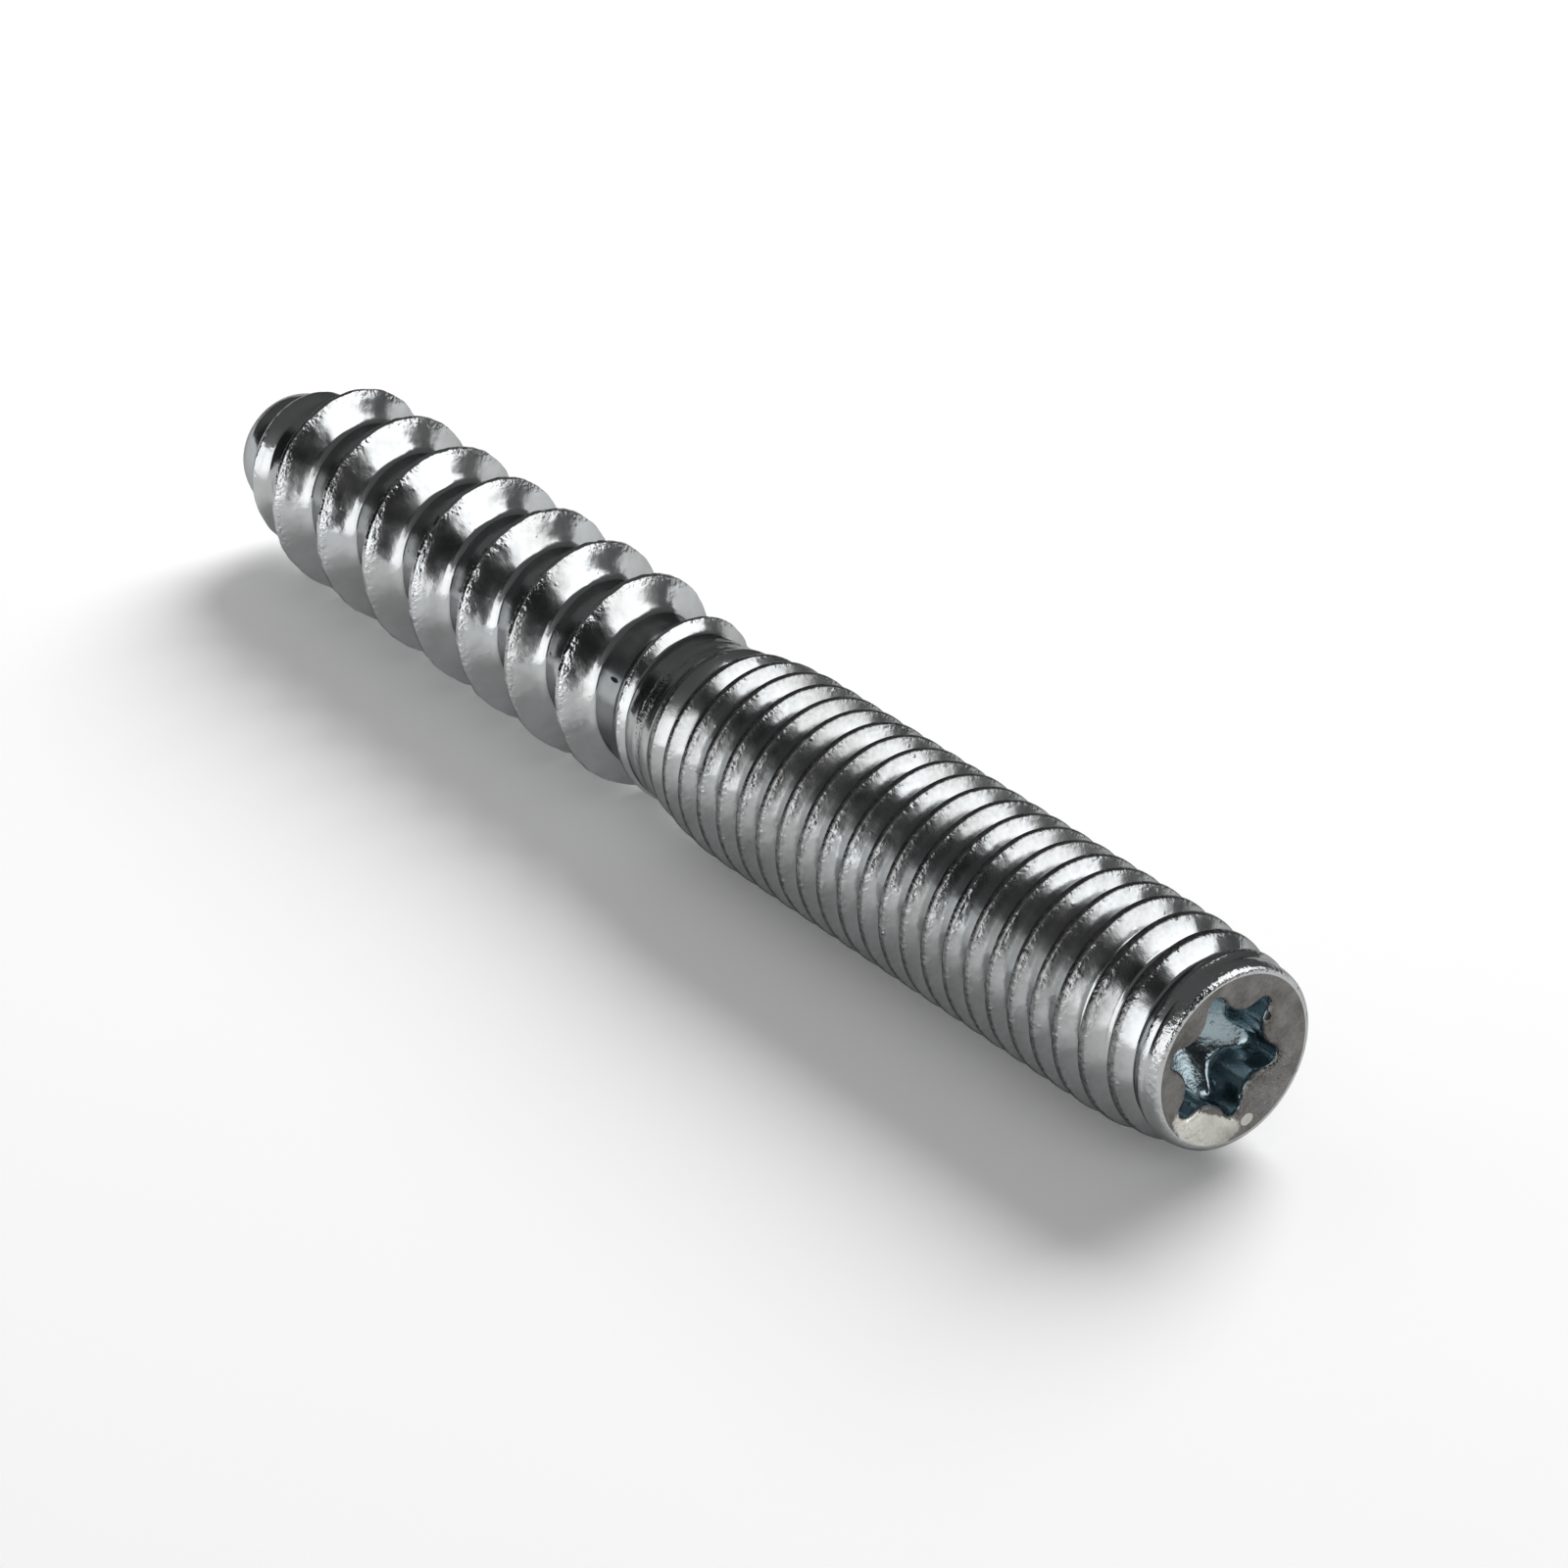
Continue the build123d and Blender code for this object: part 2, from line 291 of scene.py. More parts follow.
class Field:
    """A number in a node tree, so that a formula is written here as it is on paper."""

    def __init__(self, tree, socket):
        self.tree = tree
        self.socket = socket

    def math(self, operation, *others):
        node = self.tree.nodes.new("ShaderNodeMath")
        node.operation = operation
        for place, value in enumerate((self, *others)):
            feed(self.tree, node.inputs[place], value)
        return Field(self.tree, node.outputs[0])

    def __add__(self, other):
        return self.math("ADD", other)

    def __sub__(self, other):
        return self.math("SUBTRACT", other)

    def __mul__(self, other):
        return self.math("MULTIPLY", other)

    def __truediv__(self, other):
        return self.math("DIVIDE", other)

    def __rsub__(self, other):
        return self.math("MULTIPLY_ADD", -1, other)

    def __rtruediv__(self, other):
        return self.math("POWER", -1) * other

    def __pow__(self, other):
        return self.math("POWER", other)

    __radd__ = __add__
    __rmul__ = __mul__

    def sin(self):
        return self.math("SINE")

    def cos(self):
        return self.math("COSINE")

    def root(self):
        return self.math("MAXIMUM", 0).math("SQRT")

    def share(self):
        """Held between 0 and 1."""
        return self.math("MAXIMUM", 0).math("MINIMUM", 1)


def feed(tree, socket, value):
    """Links a field to a socket, or sets the socket to a plain value."""
    if isinstance(value, Field):
        tree.links.new(value.socket, socket)
    else:
        socket.default_value = value


def ease_out(distance, length):
    """Rises from 0 to 1 over a length, steep at first and level at its end."""
    return ((distance / length).share() * (pi / 2)).sin()


def blend(distance, length):
    """Rises from 0 to 1 over a length, level at both ends."""
    share = (distance / length).share()
    return share * share * (3 - 2 * share)


def between(share, first, last):
    """Goes from the first value to the last as the share goes from 0 to 1."""
    return first + (last - first) * share


def soft_minimum(a, b, softness):
    """The smaller of two radii, with the corner between them rounded."""
    gap = a - b
    return (a + b - (gap * gap + softness * softness).root()) / 2


class Stations:
    """Where the parts of the bolt begin along its axis, from the sizes."""

    def __init__(self, s):
        self.face = s.overall_length / 2
        self.nose = -s.overall_length / 2
        self.neck = self.face - s.neck_distance
        self.machine_start = self.neck + s.neck_width / 2
        self.wood_end = self.neck - s.neck_width / 2
        self.wood_begin = self.nose + s.nose_plain
        room = self.face - s.end_plain - self.machine_start
        self.machine_turns = floor(room / s.machine_pitch + MM)
        last = self.machine_start + self.machine_turns * s.machine_pitch
        past = last - (self.face - s.stretch_length)
        self.machine_end = last + s.stretch_share * past ** 2 / (past + s.machine_pitch / 3)
        self.wood_turns = ceil((self.wood_end - self.wood_begin) / s.wood_pitch)
        self.wood_start = self.wood_end - self.wood_turns * s.wood_pitch


def rounded_section(pitch, crest, height, flank, radii, steps, fill):
    """One turn of a thread as (offset, groove): 0 is the crest and 1 the root, corners rounded."""
    run = height * tan(flank)
    corners = [(0.0, 0.0), (crest, 0.0), (crest + run, height), (pitch - run, height)]
    points = []
    for i, (x, depth) in enumerate(corners):
        before, after = corners[i - 1], corners[(i + 1) % 4]
        radius = radii[0] if i < 2 else radii[1]
        reach = radius * tan((pi / 2 - flank) / 2)
        come = Vector((x - before[0] + (pitch if i == 0 else 0), depth - before[1])).normalized()
        go = Vector((after[0] - x + (pitch if i == 3 else 0), after[1] - depth)).normalized()
        inside = (go - come).normalized()
        centre = Vector((x, depth)) + inside * (radius / cos((pi / 2 - flank) / 2))
        first, last = Vector((x, depth)) - come * reach, Vector((x, depth)) + go * reach
        for step in range(steps + 1):
            spoke = (first - centre).slerp(last - centre, step / steps)
            point = centre + spoke.normalized() * radius
            points.append((point.x % pitch, point.y / height))
        gap = (after[0] - x) % pitch - 2 * reach
        if i in fill and gap > 0:
            end = Vector(after) + Vector((pitch if i == 3 else 0, 0)) - go * reach
            for step in range(1, fill[i]):
                point = last.lerp(end, step / fill[i])
                points.append((point.x % pitch, point.y / height))
    return sorted(points)


def thread_lines(half, start, turns, pitch, section):
    """The lines of a thread, which widen from a ring at its start and close on one at its end."""
    end = start + turns * pitch
    lines = [dict(half=half, along=start)]
    for turn in range(turns + 1):
        for offset, groove in section:
            if turn == 0:
                along, lead = start, offset
            elif turn == turns:
                along, lead = end - (pitch - offset), pitch - offset
            else:
                along, lead = start + pitch * (turn - 1) + offset, pitch
            lines.append(dict(half=half, along=along, lead=lead, groove=groove))
    lines.append(dict(half=half, along=end))
    return lines


def rim_lines(x, radius, rounding, outward, slope, steps):
    """A rounded rim that runs from the flat end onto the cone behind it."""
    below = radius + rounding * tan(slope) - rounding / cos(slope)
    lines = []
    for step in range(steps + 1):
        turn = (pi / 2 - slope) * step / steps
        along = x - outward * rounding * (1 - cos(turn))
        lines.append(dict(half=PLAIN, along=along, radius=below + rounding * sin(turn)))
    return lines


def bolt_lines(s):
    """Every line that runs round the bolt, from the middle of its nose to that of its socket."""
    at = Stations(s)
    wood = rounded_section(
        s.wood_pitch, s.wood_crest, (s.wood_diameter - s.wood_root) / 2, s.wood_flank,
        WOOD_CORNERS, WOOD_STEPS, WOOD_FILL,
    )
    machine = rounded_section(
        s.machine_pitch, s.machine_crest, (s.machine_diameter - s.machine_root) / 2,
        s.machine_flank, MACHINE_CORNERS, MACHINE_STEPS, MACHINE_FILL,
    )
    nose_rim = rim_lines(
        at.nose, s.nose_diameter / 2, s.nose_rim, -1, s.point_angle, NOSE_RIM_STEPS
    )
    flat = nose_rim[0]["radius"]
    lines = [dict(half=PLAIN, along=at.nose, radius=flat * i / NOSE_FLAT_STEPS)
             for i in range(NOSE_FLAT_STEPS)] + nose_rim
    lines += thread_lines(WOOD, at.wood_start, at.wood_turns, s.wood_pitch, wood)
    lines += thread_lines(MACHINE, at.machine_start, at.machine_turns, s.machine_pitch, machine)
    rise = (s.machine_diameter - s.end_diameter) / 2
    share = sin(pi / 2 * (at.face - at.machine_end) / s.end_taper)
    slope = atan(rise * share / (at.face - at.machine_end))
    end_rim = rim_lines(at.face, s.end_diameter / 2, s.end_rim, 1, slope, END_RIM_STEPS)
    lines += reversed(end_rim)
    flat = end_rim[0]["radius"]
    lines[-1]["end"] = 1
    mouth = dict(half=SOCKET, along=at.face, radius=flat)
    lines += [dict(mouth, lobed=i / FACE_STEPS, grow=s.socket_mouth, end=1)
              for i in range(1, FACE_STEPS)]
    lines += [dict(mouth, lobed=1, grow=s.socket_mouth * (1 - i / MOUTH_STEPS), end=1,
                   along=at.face - s.socket_mouth * i / MOUTH_STEPS)
              for i in range(MOUTH_STEPS + 1)]
    lines += [dict(mouth, lobed=1, end=1,
                   groove=FIRST_WALL_STEP + (1 - FIRST_WALL_STEP) * i / WALL_STEPS)
              for i in range(1, WALL_STEPS + 1)]
    lines += [dict(mouth, lobed=1, groove=1, inward=i / FLOOR_STEPS, end=1)
              for i in range(1, FLOOR_STEPS + 1)]
    return lines


def line_mesh(lines):
    """The lines as the points of a mesh, whose attributes say how each line runs."""
    mesh = bpy.data.meshes.new("bolt_lines")
    mesh.from_pydata([(line["along"], 0, 0) for line in lines], [], [])
    for name in ("half", "along", "lead", "groove", "radius", "grow", "lobed", "inward", "end"):
        attribute = mesh.attributes.new(name, "FLOAT", "POINT")
        attribute.data.foreach_set("value", [float(line.get(name, 0)) for line in lines])
    return mesh


def socket_radius(f, turn, grow):
    """The six-lobe outline of the socket, seen from its middle, grown by a little at its mouth."""
    step = 2 * pi / f["lobe_count"]
    lobe = f["socket_lobes"] / 2 - f["lobe_radius"]
    valley = f["socket_flutes"] / 2
    reach = (step / 2).cos()
    gap = lobe * lobe + valley * valley - 2 * lobe * valley * reach - f["lobe_radius"] ** 2
    flute = gap / (2 * (f["lobe_radius"] + lobe * reach - valley))
    hub = valley + flute
    share = (f["lobe_radius"] + grow) / (f["lobe_radius"] + flute)
    change = ((step / 2).sin() * hub * share).math("ARCTAN2", between(share, lobe, hub * reach))
    past = ((turn - f["socket_turn"]) / step + 0.5).math("FLOORED_MODULO", 1) - 0.5
    off = past.math("ABSOLUTE") * step
    other = step / 2 - off
    lobe_side, flute_side = lobe * off.sin(), hub * other.sin()
    round_lobe = lobe * off.cos() + ((f["lobe_radius"] + grow) ** 2 - lobe_side * lobe_side).root()
    round_flute = hub * other.cos() - ((flute - grow) ** 2 - flute_side * flute_side).root()
    return between(off.math("GREATER_THAN", change), round_lobe, round_flute)


def wood_radius(f, x, groove):
    """Radius of the wood thread at a place along it, and its depth there."""
    neck = f["neck_diameter"] / 2
    point = f["nose_diameter"] / 2 + (x - f["nose"]) * f["point_angle"].math("TANGENT")
    near_neck = between(ease_out(f["wood_end"] - x, f["wood_runout"]), neck, f["wood_diameter"] / 2)
    soft = soft_minimum(near_neck, point, f["corner_softness"])
    crest = between(x.math("LESS_THAN", f["neck"] - f["wood_runout"]), near_neck, soft)
    near_neck = between(blend(f["wood_end"] - x, f["wood_rise"]), neck, f["wood_root"] / 2)
    near_point = point - f["point_groove"] * blend(x - f["wood_begin"], f["wood_pitch"])
    soft = soft_minimum(near_neck, near_point, f["corner_softness"])
    root = between(x.math("LESS_THAN", f["neck"] - f["wood_rise"]), near_neck, soft)
    return between(groove, crest, root), crest - root


def machine_radius(f, x, groove):
    """Radius of the machine thread at a place along it."""
    neck, full = f["neck_diameter"] / 2, f["machine_diameter"] / 2
    from_neck = between(ease_out(x - f["machine_start"], f["machine_runout"]), neck, full)
    from_face = between(ease_out(f["face"] - x, f["end_taper"]), f["end_diameter"] / 2, full)
    crest = from_neck.math("MINIMUM", from_face)
    shown = blend(x - f["machine_start"], f["machine_pitch"])
    shown = shown.math("MINIMUM", blend(f["machine_end"] - x, f["end_fade"]))
    root = between(shown, crest, crest.math("MINIMUM", f["machine_root"] / 2))
    return between(groove, crest, root)


def noise(tree, place, scale, seed, detail=2.0):
    """A smooth random number about 0, from about -1 to 1."""
    node = tree.nodes.new("ShaderNodeTexNoise")
    node.noise_dimensions = "4D"
    tree.links.new(place, node.inputs["Vector"])
    feed(tree, node.inputs["W"], seed)
    feed(tree, node.inputs["Scale"], scale)
    node.inputs["Detail"].default_value = detail
    return (Field(tree, node.outputs["Fac"]) - 0.5) * 4


def vector(tree, x, y, z):
    """A vector from three fields."""
    node = tree.nodes.new("ShaderNodeCombineXYZ")
    for socket, value in zip(node.inputs, (x, y, z)):
        feed(tree, socket, value)
    return node.outputs[0]


def skin_tree(sizes, stations, zinc, end_zinc):
    """Carries every line round the bolt, with its lead, and joins them into one closed skin."""
    tree = bpy.data.node_groups.new("Rolled bolt", "GeometryNodeTree")
    interface = tree.interface
    interface.new_socket("Lines", in_out="INPUT", socket_type="NodeSocketGeometry")
    interface.new_socket("Bolt", in_out="OUTPUT", socket_type="NodeSocketGeometry")
    values = {name: getattr(sizes, name) for name in sizes.__annotations__}
    values.update(vars(stations))
    sockets = {}
    for name, value in values.items():
        kind = "NodeSocketInt" if name == "steps_round" else "NodeSocketFloat"
        label = name.replace("_", " ").title()
        sockets[name] = interface.new_socket(label, in_out="INPUT", socket_type=kind)
        sockets[name].default_value = value
    new, link = tree.nodes.new, tree.links.new
    given, made = new("NodeGroupInput"), new("NodeGroupOutput")
    f = {name: Field(tree, given.outputs[sockets[name].name]) for name in sockets}

    amount = new("GeometryNodeAttributeDomainSize")
    amount.component = "MESH"
    link(given.outputs["Lines"], amount.inputs["Geometry"])
    grid = new("GeometryNodeMeshGrid")
    link(amount.outputs["Point Count"], grid.inputs["Vertices X"])
    across = f["steps_round"] + 1
    link(across.socket, grid.inputs["Vertices Y"])
    index = Field(tree, new("GeometryNodeInputIndex").outputs[0])
    line = ((index + 0.5) / across).math("FLOOR")
    turn = (index - line * across) / f["steps_round"]

    def kept(name):
        named = new("GeometryNodeInputNamedAttribute")
        named.data_type = "FLOAT"
        named.inputs["Name"].default_value = name
        taken = new("GeometryNodeSampleIndex")
        taken.data_type = "FLOAT"
        link(given.outputs["Lines"], taken.inputs["Geometry"])
        link(named.outputs["Attribute"], taken.inputs["Value"])
        link(line.socket, taken.inputs["Index"])
        return Field(tree, taken.outputs["Value"])

    half, groove, lobed = kept("half"), kept("groove"), kept("lobed")
    is_wood = half.math("COMPARE", WOOD, 0.1)
    is_machine = half.math("COMPARE", MACHINE, 0.1)
    spin = f["seam_angle"] + turn * (2 * pi)
    x = kept("along") + kept("lead") * turn
    span = f["wood_squeeze"] * f["wood_pitch"]
    early = ((x - f["wood_start"]) / span - 1).math("MINIMUM", 0)
    x = x + (f["wood_begin"] - f["wood_start"]) * early * early * is_wood
    past = (x - (f["face"] - f["stretch_length"])).math("MAXIMUM", 0)
    spread = f["stretch_share"] * past * past / (past + f["machine_pitch"] / 3)
    x = x + spread * is_machine

    wood, depth = wood_radius(f, x, groove)
    plain = kept("radius")
    mouth = socket_radius(f, spin + pi / 2, kept("grow")) * (1 - kept("inward"))
    radius = between(is_wood, between(lobed, plain, mouth), wood)
    radius = between(is_machine, radius, machine_radius(f, x, groove))
    cone = (f["socket_lobes"] / 2 - mouth) / f["socket_floor"].math("TANGENT")
    sink = (f["socket_wall"] + cone) * groove * lobed
    x = x - sink

    y, z = radius * spin.sin() * -1, radius * spin.cos()
    place = vector(tree, x * WEAR_STRETCH, y, z)
    ragged = noise(tree, place, WEAR_SCALE / MM, f["wear_seed"])
    wide = noise(tree, place, WAVE_SCALE / MM, f["wear_seed"] + 5)
    top = (1 - groove * 3).share()
    worn = (depth / (WORN_DEPTH * MM)).share() * is_wood
    radius = radius + ragged * f["crest_wear"] * top * worn
    radius = radius + wide * (WAVE_HEIGHT * MM) * worn
    lean = blend(x - f["face"] + f["end_taper"], f["end_taper"])
    y = radius * spin.sin() * -1 + f["socket_y"] * lobed + f["end_y"] * lean
    droop = blend(f["nose"] + f["wood_pitch"] * 1.5 - x, f["wood_pitch"] * 1.5)
    z = radius * spin.cos() + f["socket_z"] * lobed + f["end_z"] * lean - f["nose_drop"] * droop

    bend = f["neck_bend"] * blend(f["neck"] + f["neck_bend_length"] / 2 - x, f["neck_bend_length"])
    reach = x - f["neck"]
    bent_x = f["neck"] + reach * bend.cos() + y * bend.sin()
    bent_y = y * bend.cos() - reach * bend.sin()

    moved = new("GeometryNodeSetPosition")
    link(grid.outputs["Mesh"], moved.inputs["Geometry"])
    link(vector(tree, bent_x, bent_y, z), moved.inputs["Position"])
    skin = moved.outputs[0]
    cut = machine_radius(f, x, 0.0) - machine_radius(f, x, 1.0)
    # Painted shade along the top of each machine crest, full where the thread is deep
    lap = (1.2 - groove * 12).share() * (cut / (CREST_SHADE_DEPTH * MM)).share() * is_machine
    for name, value in (("groove", groove), ("end", kept("end")), ("lap", lap)):
        stored = new("GeometryNodeStoreNamedAttribute")
        stored.data_type = "FLOAT"
        stored.domain = "POINT"
        stored.inputs["Name"].default_value = name
        link(skin, stored.inputs["Geometry"])
        link(value.socket, stored.inputs["Value"])
        skin = stored.outputs[0]
    for kind, settings in (
        ("GeometryNodeMergeByDistance", {"Distance": 1e-6}),
        ("GeometryNodeFlipFaces", {}),
        ("GeometryNodeSetShadeSmooth", {"Shade Smooth": True}),
        ("GeometryNodeRealizeInstances", {}),
        ("GeometryNodeSetMaterial", {"Material": zinc}),
        ("GeometryNodeSetMaterial", {"Material": end_zinc}),
    ):
        node = new(kind)
        link(skin, node.inputs[0])
        for name, value in settings.items():
            node.inputs[name].default_value = value
        skin = node.outputs[0]
    ended = new("GeometryNodeInputNamedAttribute")
    ended.data_type = "FLOAT"
    ended.inputs["Name"].default_value = "end"
    chosen = Field(tree, ended.outputs["Attribute"]).math("GREATER_THAN", 0.99)
    link(chosen.socket, node.inputs["Selection"])
    link(skin, made.inputs["Bolt"])
    return tree, {sockets[name].identifier: value for name, value in values.items()}


def principled(material, **values):
    """The material's main shader, with plain values set on its own sockets."""
    shader = material.node_tree.nodes["Principled BSDF"]
    for name, value in values.items():
        socket = shader.inputs[name.replace("_", " ").title().replace("Ior", "IOR")]
        socket.default_value = (*value, 1) if hasattr(value, "__len__") else value
    return shader


def new_material(name):
    """A material with its own node tree."""
    material = bpy.data.materials.new(name)
    material.use_nodes = True
    return material


def millimetres(tree, along=1.0):
    """A place on the bolt in millimetres, with its length along the bolt scaled."""
    node = tree.nodes.new("ShaderNodeVectorMath")
    node.operation = "MULTIPLY"
    tree.links.new(tree.nodes.new("ShaderNodeTexCoord").outputs["Object"], node.inputs[0])
    node.inputs[1].default_value = (along / MM, 1 / MM, 1 / MM)
    return node.outputs[0]


def specks(tree, place, scale, size):
    """Small round specks, 1 in their middle, of which a few stand in each millimetre."""
    node = tree.nodes.new("ShaderNodeTexVoronoi")
    tree.links.new(place, node.inputs["Vector"])
    node.inputs["Scale"].default_value = scale
    parts = tree.nodes.new("ShaderNodeSeparateColor")
    tree.links.new(node.outputs["Color"], parts.inputs[0])
    chosen = Field(tree, parts.outputs[0]).math("GREATER_THAN", EMPTY_SHARE)
    return blend(size - Field(tree, node.outputs["Distance"]), size) * chosen


def rolled_zinc():
    """The group that both finishes share: streaks, clouds, grain and specks over the surface."""
    group = bpy.data.node_groups.new("Rolled zinc", "ShaderNodeTree")
    for name in ROLLED_PART:
        group.interface.new_socket(name, in_out="INPUT", socket_type="NodeSocketFloat")
    given, made = group.nodes.new("NodeGroupInput"), group.nodes.new("NodeGroupOutput")
    scale = {name: Field(group, given.outputs[name]) for name in ROLLED_PART}
    values = {
        name: noise(group, millimetres(group, along), scale[kind], seed, detail)
        for name, (along, kind, seed, detail) in MARKS.items()
    }
    values["Specks"] = specks(group, millimetres(group), SPECK_SCALE, scale["Speck Size"])
    for name, value in values.items():
        group.interface.new_socket(name, in_out="OUTPUT", socket_type="NodeSocketFloat")
        feed(group, made.inputs[name], value)
    return group


def surface(material, group, values):
    """The shared group's masks in a material's own tree, with that material's own values."""
    node = material.node_tree.nodes.new("ShaderNodeGroup")
    node.node_tree = group
    for name, value in values.items():
        node.inputs[name].default_value = value
    return {name: Field(material.node_tree, node.outputs[name]) for name in node.outputs.keys()}


def mixed(tree, share, first, last):
    """A colour that goes from the first to the last as the share goes from 0 to 1."""
    node = tree.nodes.new("ShaderNodeMix")
    node.data_type = "RGBA"
    feed(tree, node.inputs[0], share)
    node.inputs[MIX_FIRST].default_value = (*first, 1)
    node.inputs[MIX_LAST].default_value = (*last, 1)
    return node.outputs[MIX_MADE]


def over(tree, share, first, last):
    """A colour laid over another, which comes from a socket."""
    made = mixed(tree, share, last, last)
    tree.links.new(first, made.node.inputs[MIX_FIRST])
    return made


def raise_surface(tree, shader, height):
    """Bumps the surface by a height in millimetres."""
    bump = tree.nodes.new("ShaderNodeBump")
    bump.inputs["Strength"].default_value = 1.0
    bump.inputs["Distance"].default_value = MM
    feed(tree, bump.inputs["Height"], height)
    tree.links.new(bump.outputs[0], shader.inputs["Normal"])


def kept_value(tree, name):
    """An attribute of the skin, as its material reads it."""
    node = tree.nodes.new("ShaderNodeAttribute")
    node.attribute_name = name
    return Field(tree, node.outputs["Fac"])


def cut_in_root(tree):
    """1 in the short cut along the bolt, in the last root of the wood thread."""
    parts = tree.nodes.new("ShaderNodeSeparateXYZ")
    tree.links.new(millimetres(tree), parts.inputs[0])
    off = [(Field(tree, parts.outputs[i]) - CUT_MIDDLE[i]) / CUT_REACH[i] for i in range(3)]
    return blend(1 - (off[0] * off[0] + off[1] * off[1] + off[2] * off[2]), 0.6)


def zinc_material(finish_and_light, group):
    """Bright zinc over rolled steel, with worn thread edges, painted shade along the machine crests
    and in the cut in the root.
    """
    material = new_material("bright_zinc_and_painted_shade")
    tree = material.node_tree
    shader = principled(material, base_color=finish_and_light.zinc_colour, metallic=1.0,
                        specular_tint=finish_and_light.edge_tint)
    skin = surface(material, group, ROLLED_PART)
    edge = (1 - kept_value(tree, "groove") * EDGE_END).share()
    dull = (skin["Clouds"] * DULL_CLOUDS + DULL + skin["Streaks"] * DULL_STREAKS).share()
    # Painted shade along the machine crests, broken up by the grain
    lap = (kept_value(tree, "lap") * (CREST_SHADE_FULL + skin["Grain"] * CREST_SHADE_GRAIN)).share()
    clean = mixed(tree, dull, finish_and_light.zinc_colour, finish_and_light.stain_colour)
    cut = cut_in_root(tree)
    crest_shaded = over(tree, lap, clean, finish_and_light.lap_colour)
    # The cut in the root is painted near black, as painted shade in its groove
    tree.links.new(over(tree, cut, crest_shaded, finish_and_light.scar_shade_colour), shader.inputs["Base Color"])
    feed(tree, shader.inputs["Roughness"],
         between(dull, finish_and_light.zinc_roughness, finish_and_light.stain_roughness) + lap * CREST_SHADE_ROUGHNESS)
    height = skin["Streaks"] * finish_and_light.streak_height + skin["Dents"] * finish_and_light.dent_height
    height = height + skin["Grain"] * edge * finish_and_light.edge_height
    height = height + skin["Specks"] * (edge * EDGE_SPECKS + FLANK_SPECKS) * finish_and_light.speck_height
    raise_surface(tree, shader, height - cut * finish_and_light.end_height)
    return material


def end_place(tree):
    """Depth behind the end face, and distance and angle round its middle, in millimetres."""
    parts = tree.nodes.new("ShaderNodeSeparateXYZ")
    tree.links.new(millimetres(tree), parts.inputs[0])
    x, y, z = (Field(tree, parts.outputs[i]) for i in range(3))
    y, z = y - END_MIDDLE[0], z - END_MIDDLE[1]
    return END_FACE - x, (y * y + z * z).root(), z.math("ARCTAN2", y) * (180 / pi)


def patch(radius, angle, ragged, middle, reach, turn, spread):
    """1 on a patch of the end face, from its distance and angle, with a ragged border."""
    off = (radius - middle).math("ABSOLUTE") / reach
    aside = (angle - turn).math("ABSOLUTE") / spread
    return blend(1.15 - off * off - aside * aside + ragged, 0.3)


def end_material(finish_and_light, group):
    """Matt, pitted zinc of the end face, with a painted highlight on a dented patch at its rim and
    on a blob, and teal with painted shade in the socket.
    """
    material = new_material("matt_zinc_and_painted_light")
    tree = material.node_tree
    shader = principled(material, base_color=finish_and_light.end_colour, metallic=1.0)
    skin = surface(material, group, STRUCK_END)
    depth, radius, angle = end_place(tree)
    inside = blend(depth - 0.1, 0.15)
    stain = skin["Clouds"] * STAIN_CLOUDS + skin["Dents"] * STAIN_DENTS
    stain = (stain + skin["Grain"] * STAIN_GRAIN + STAIN).share()
    ragged = skin["Grain"] * RAGGED_GRAIN + skin["Dents"] * RAGGED_DENTS
    # Painted highlight: mask of the dented patch at the rim, which is painted bright further down
    highlight_mask = patch(radius, angle, ragged, *HIGHLIGHT_PATCH) * (1 - inside)
    rough = patch(radius, angle, ragged, *ROUGH_ZONE) * (1 - inside)
    notch = patch(radius, angle, 0.0, *NOTCH) * (1 - inside)
    dent = patch(radius, angle, 0.0, *RIM_DENT)
    blob = patch(radius, angle, 0.0, *BLOB) * (1 - inside)
    colour_now = mixed(tree, stain, finish_and_light.end_colour, finish_and_light.end_stain)
    # Painted shade: the notch is painted near black
    colour_now = over(tree, notch, colour_now, finish_and_light.scar_shade_colour)
    # The socket is painted teal and darker, a tint with painted shade in the recess
    colour_now = over(tree, inside, colour_now, finish_and_light.socket_tint_and_shade)
    # Painted highlight over the dented patch and the blob, in place of their reflection
    bright = (highlight_mask * (HIGHLIGHT_FULL + skin["Clouds"] * HIGHLIGHT_CLOUDS)).share()
    bright = bright.math("MAXIMUM", blob * BLOB_HIGHLIGHT)
    colour_now = over(tree, bright, colour_now, finish_and_light.painted_highlight_colour)
    tree.links.new(colour_now, shader.inputs["Base Color"])
    feed(tree, shader.inputs["Roughness"],
         between(inside.math("MAXIMUM", rough), finish_and_light.end_roughness, finish_and_light.socket_roughness))
    grain = skin["Grain"] * (1 + rough * ROUGH_HEIGHT - inside * SMOOTH_SOCKET)
    marks = highlight_mask * HIGHLIGHT_PATCH_HEIGHT + blob * BLOB_HEIGHT - dent * DENT_DEPTH - notch * NOTCH_DEPTH
    height = (grain + marks - skin["Specks"] * SPECK_DEPTH) * finish_and_light.end_height
    raise_surface(tree, shader, height + skin["Dents"] * finish_and_light.dent_height)
    return material


